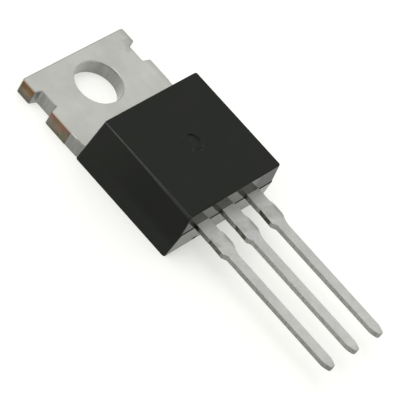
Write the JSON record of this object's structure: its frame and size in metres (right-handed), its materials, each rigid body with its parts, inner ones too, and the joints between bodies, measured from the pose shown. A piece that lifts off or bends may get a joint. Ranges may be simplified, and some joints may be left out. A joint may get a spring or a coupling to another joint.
{
  "type": "power mosfet",
  "caption": "Leaded power transistor: black moulded body on a bolt-down metal heatsink tab, with a row of flat leads.",
  "frame": {"origin": "centre of the mounting hole, in the plane of the heatsink face", "axes": "+Z out of the marking face, along the hole; +Y towards the tab's free end, so the leads run to -Y; +X from the gate lead towards the source lead"},
  "size_m": [0.01, 0.0282, 0.0042],
  "materials": {
    "tinned_copper_tab": "matte tin plating, bare copper where the tie bars were sheared",
    "tinned_copper_lead": "matte tin plating",
    "moulding_compound": "fine matte moulded epoxy, smoother on the lead end",
    "silicon": "polished",
    "solder": "satin",
    "bond_wire": "bright drawn wire"
  },
  "bodies": {
    "root": {"drain_tab": "tinned_copper_tab", "drain_lead": "tinned_copper_lead", "gate_lead": "tinned_copper_lead", "source_lead": "tinned_copper_lead", "moulded_body": "moulding_compound", "silicon_die": "silicon", "die_solder": "solder", "gate_wire": "bond_wire", "source_wire_1": "bond_wire", "source_wire_2": "bond_wire"}
  },
  "joints": []
}
